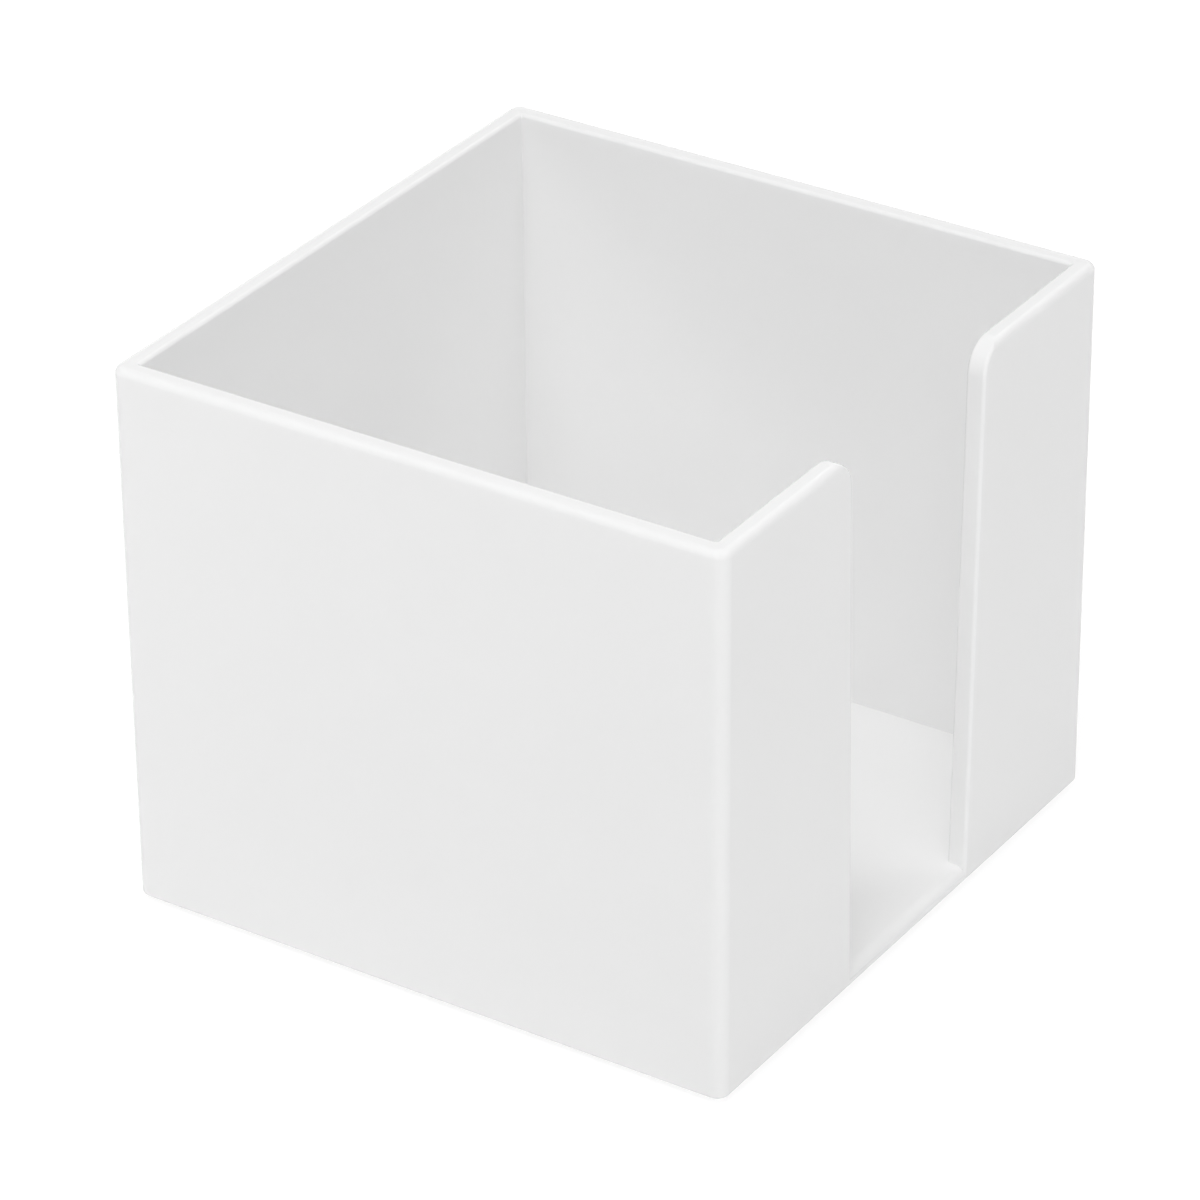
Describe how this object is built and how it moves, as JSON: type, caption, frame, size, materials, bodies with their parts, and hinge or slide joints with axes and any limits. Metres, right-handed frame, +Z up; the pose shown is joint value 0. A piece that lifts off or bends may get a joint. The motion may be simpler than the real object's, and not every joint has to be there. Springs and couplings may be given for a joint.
{
  "type": "memo box",
  "caption": "Square open-topped desk box for loose note sheets, with a tapering thumb slot down its front wall to the floor, standing on small rubber feet.",
  "frame": {"origin": "middle of the footprint, on the surface that the feet stand on", "axes": "+Z up out of the open top, -Y out through the thumb slot, +X to the right as seen from the front"},
  "size_m": [0.1, 0.0984, 0.086],
  "materials": {
    "white_plastic": "gloss",
    "foot_rubber": "matt"
  },
  "bodies": {
    "root": {"box_shell": "white_plastic", "foot_front_left": "foot_rubber", "foot_front_right": "foot_rubber", "foot_rear_left": "foot_rubber", "foot_rear_right": "foot_rubber"}
  },
  "joints": []
}
